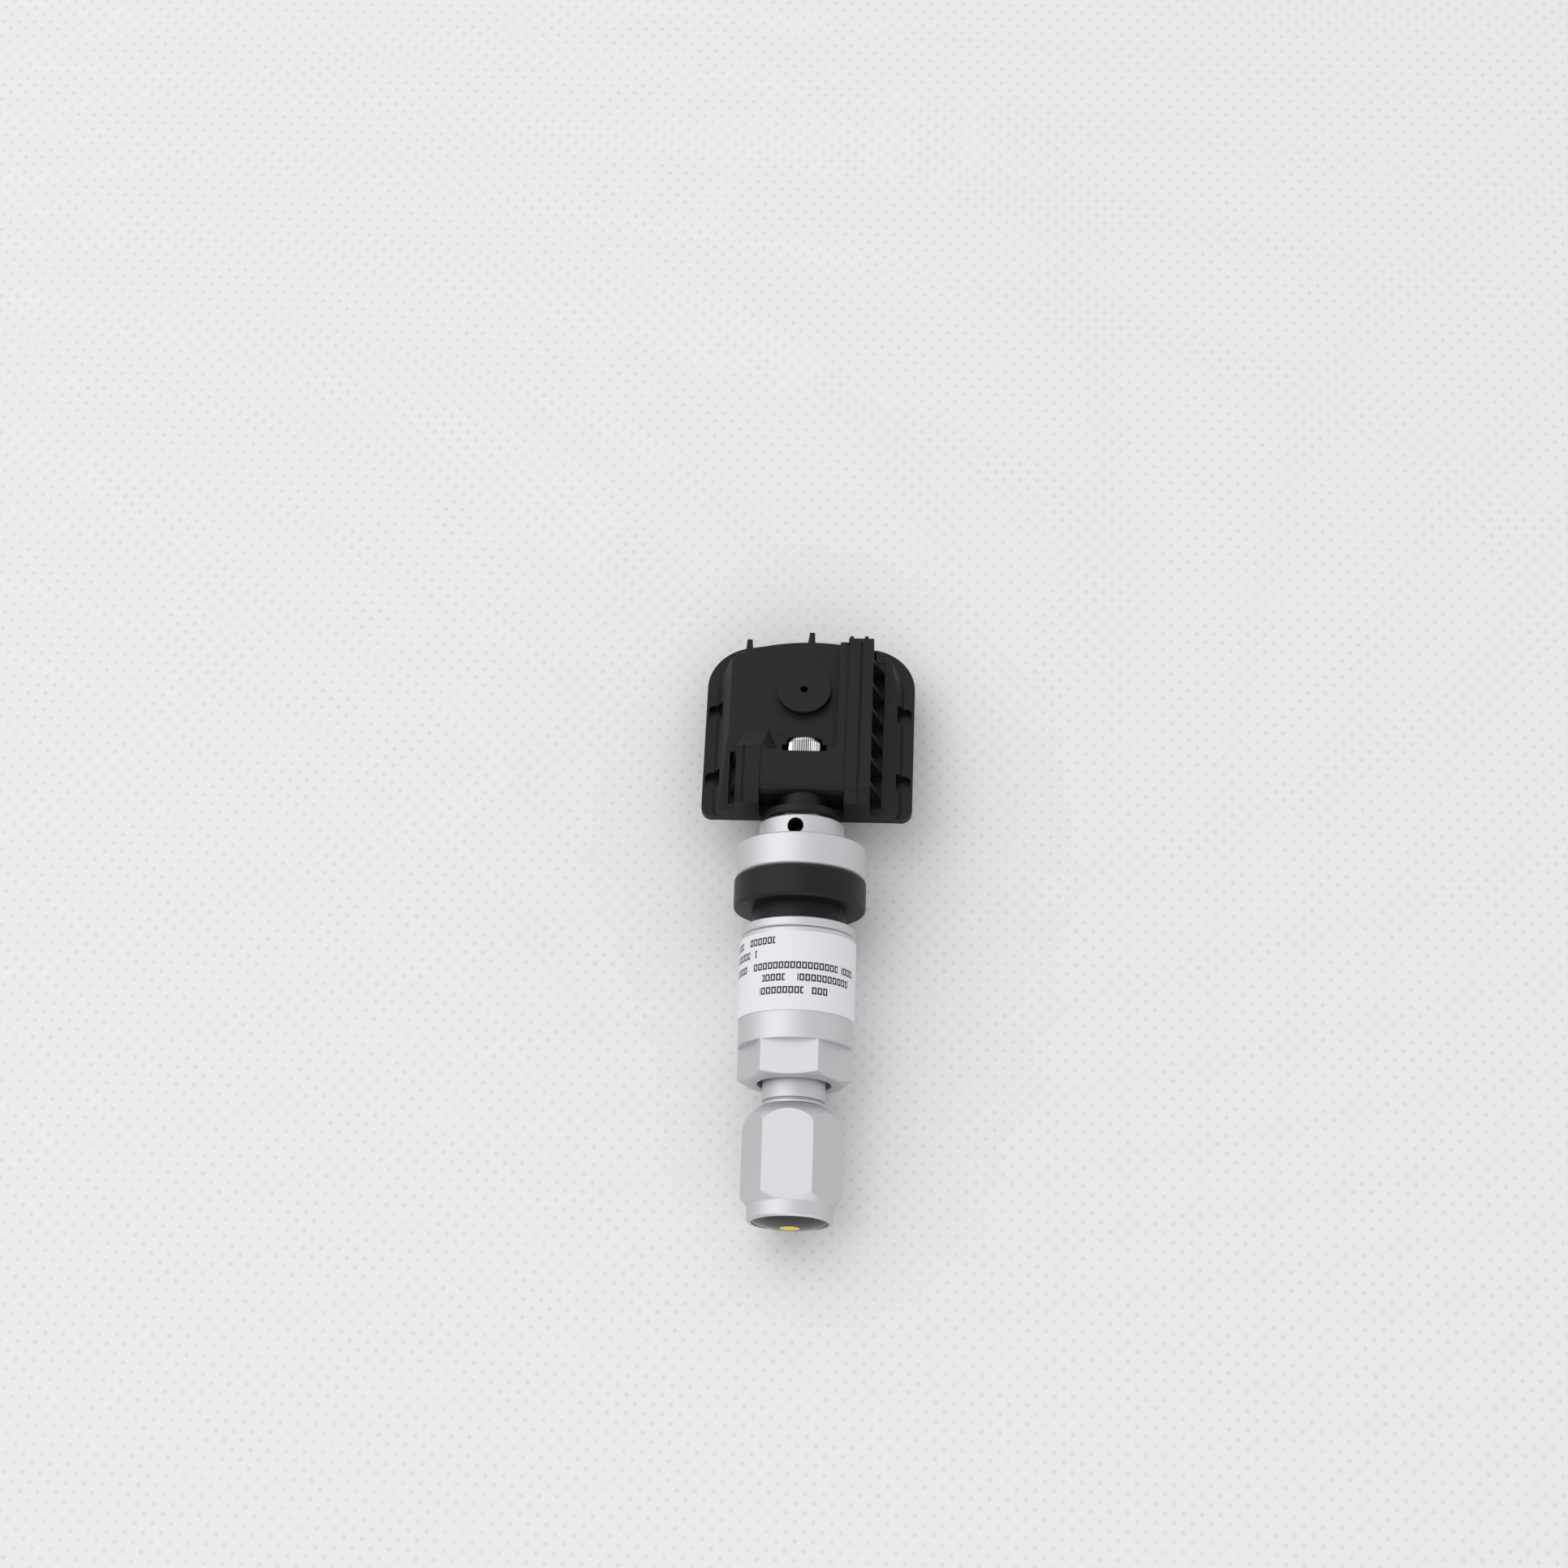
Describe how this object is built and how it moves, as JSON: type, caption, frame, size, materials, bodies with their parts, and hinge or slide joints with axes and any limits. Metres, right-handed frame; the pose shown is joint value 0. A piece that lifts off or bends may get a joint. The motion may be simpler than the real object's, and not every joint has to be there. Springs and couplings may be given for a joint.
{
  "type": "tyre pressure sensor",
  "caption": "Clamp-in tyre pressure sensor: black moulded housing screwed to a metal valve stem with rubber seal, long clamping nut and hexagonal valve cap.",
  "frame": {"origin": "on the valve stem's axis, in the face of the rubber seal that seats on the rim", "axes": "+Y along the stem from the cap to the housing, +Z the way the pressure port faces, +X across"},
  "size_m": [0.028, 0.0824, 0.0199],
  "materials": {
    "black_nylon": "glass-filled nylon with a fine moulded grain",
    "bright_steel": "bright plated steel",
    "green_board": "solder resist on glass fibre board",
    "tab_metal": "tinned metal",
    "chip_resin": "moulded resin",
    "silicone": "soft red silicone",
    "coil_varnish": "varnished copper wire",
    "brass": "turned brass",
    "satin_aluminium": "bead blasted and anodised, satin",
    "black_rubber": "moulded rubber, smooth",
    "white_label": "white film label with dark print",
    "seal_plastic": "white seal plastic",
    "badge_resin": "domed gloss resin, black with a plain yellow mark"
  },
  "bodies": {
    "sensor": {"housing_top": "black_nylon", "housing_base": "black_nylon", "fixing_screw": "bright_steel", "circuit_board": "green_board", "battery": "bright_steel", "battery_tab_lower": "tab_metal", "battery_tab_upper": "tab_metal", "pressure_chip": "chip_resin", "port_seal": "silicone", "lf_coil": "coil_varnish", "crystal": "tab_metal", "antenna": "brass", "valve_stem": "satin_aluminium", "grommet": "black_rubber", "core_barrel": "brass", "core_seal": "seal_plastic", "core_spring": "bright_steel"},
    "washer": {"nut_washer": "satin_aluminium"},
    "nut": {"collar_nut": "satin_aluminium", "label": "white_label"},
    "cap_disc": {"cap_seal": "black_rubber"},
    "cap": {"valve_cap": "satin_aluminium", "cap_badge": "badge_resin"},
    "core": {"core_pin": "brass", "core_cup": "silicone"}
  },
  "joints": [
    {"name": "nut_slide", "type": "slide", "parent": "sensor", "child": "washer", "axis": [0, -1, 0], "range_m": [0, 0.0026]},
    {"name": "nut_turn", "type": "hinge", "parent": "washer", "child": "nut", "pos_m": [0, 0, 0], "axis": [0, -1, 0], "range_deg": [0, 930]},
    {"name": "cap_slide", "type": "slide", "parent": "sensor", "child": "cap_disc", "axis": [0, -1, 0], "range_m": [0, 0.012]},
    {"name": "cap_turn", "type": "hinge", "parent": "cap_disc", "child": "cap", "pos_m": [0, 0, 0], "axis": [0, -1, 0], "range_deg": [0, 5400]},
    {"name": "core_press", "type": "slide", "parent": "sensor", "child": "core", "axis": [0, 1, 0], "range_m": [0, 0.0015], "stiffness_N_per_m": 500, "springref_m": -0.003, "deforming": ["core_spring"]}
  ],
  "couplings": [
    {"joint": "nut_slide", "follows": "nut_turn", "m_per_rad": 0.00015915},
    {"joint": "cap_slide", "follows": "cap_turn", "m_per_rad": 0.00012637}
  ]
}
